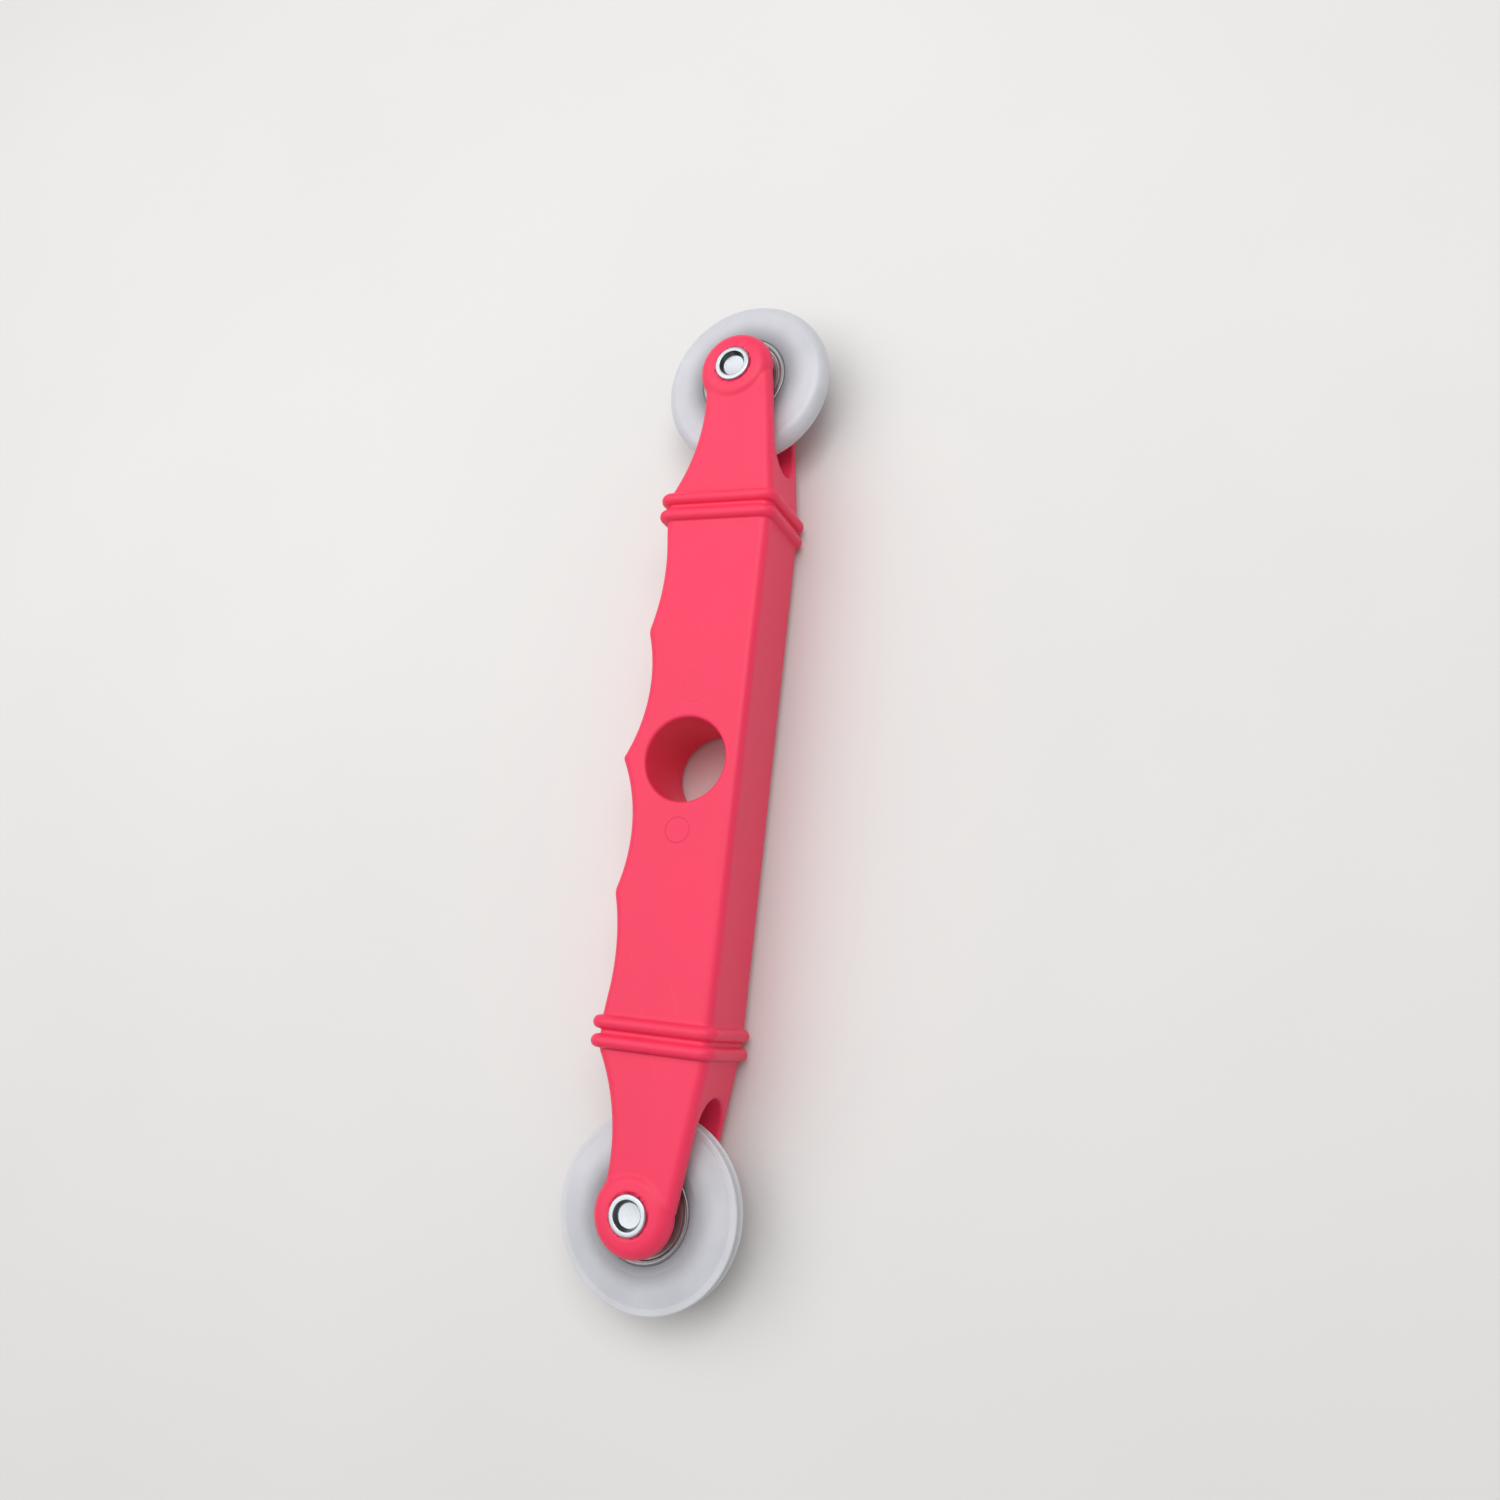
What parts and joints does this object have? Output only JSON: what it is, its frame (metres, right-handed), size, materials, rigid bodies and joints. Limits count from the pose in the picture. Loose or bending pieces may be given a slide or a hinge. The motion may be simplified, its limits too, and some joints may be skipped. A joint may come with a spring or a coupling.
{
  "type": "double-ended screen spline roller",
  "caption": "Moulded hand grip with a fork at each end, one with a convex nylon wheel and the other with a grooved one, on shielded ball bearings, and a hanging hole in the middle.",
  "frame": {"origin": "centre of the tool's outline on the surface it lies on, under the middle of the hanging hole", "axes": "+X across the handle towards its straight back, +Y along the handle towards the convex wheel, +Z along the wheel axles, up from the surface the tool lies on"},
  "size_m": [0.033, 0.187, 0.0188],
  "materials": {
    "handle": "injection moulded, satin gloss",
    "nylon": "natural white nylon, slightly translucent, smooth",
    "bearing_steel": "ground and polished",
    "zinc": "bright zinc plated",
    "cage": "moulded polyamide"
  },
  "bodies": {
    "handle": {"handle": "handle", "convex_rivet": "zinc", "convex_inner_race": "bearing_steel", "convex_spacer_top": "zinc", "convex_spacer_bottom": "zinc", "grooved_rivet": "zinc", "grooved_inner_race": "bearing_steel", "grooved_spacer_top": "zinc", "grooved_spacer_bottom": "zinc"},
    "convex_wheel": {"convex_tyre": "nylon", "convex_outer_race": "bearing_steel", "convex_shield_top": "bearing_steel", "convex_shield_bottom": "bearing_steel"},
    "convex_cage": {"convex_ball_cage": "cage", "convex_balls": "bearing_steel"},
    "grooved_wheel": {"grooved_tyre": "nylon", "grooved_outer_race": "bearing_steel", "grooved_shield_top": "bearing_steel", "grooved_shield_bottom": "bearing_steel"},
    "grooved_cage": {"grooved_ball_cage": "cage", "grooved_balls": "bearing_steel"}
  },
  "joints": [
    {"name": "convex_wheel_spin", "type": "hinge", "parent": "handle", "child": "convex_wheel", "pos_m": [0, 0.077, 0.0094], "axis": [0, 0, 1], "continuous": true},
    {"name": "convex_cage_spin", "type": "hinge", "parent": "handle", "child": "convex_cage", "pos_m": [0, 0.077, 0.0094], "axis": [0, 0, 1], "continuous": true},
    {"name": "grooved_wheel_spin", "type": "hinge", "parent": "handle", "child": "grooved_wheel", "pos_m": [0, -0.077, 0.0094], "axis": [0, 0, 1], "continuous": true},
    {"name": "grooved_cage_spin", "type": "hinge", "parent": "handle", "child": "grooved_cage", "pos_m": [0, -0.077, 0.0094], "axis": [0, 0, 1], "continuous": true}
  ],
  "couplings": [
    {"joint": "convex_cage_spin", "follows": "convex_wheel_spin", "ratio": 0.6379},
    {"joint": "grooved_cage_spin", "follows": "grooved_wheel_spin", "ratio": 0.6379}
  ]
}
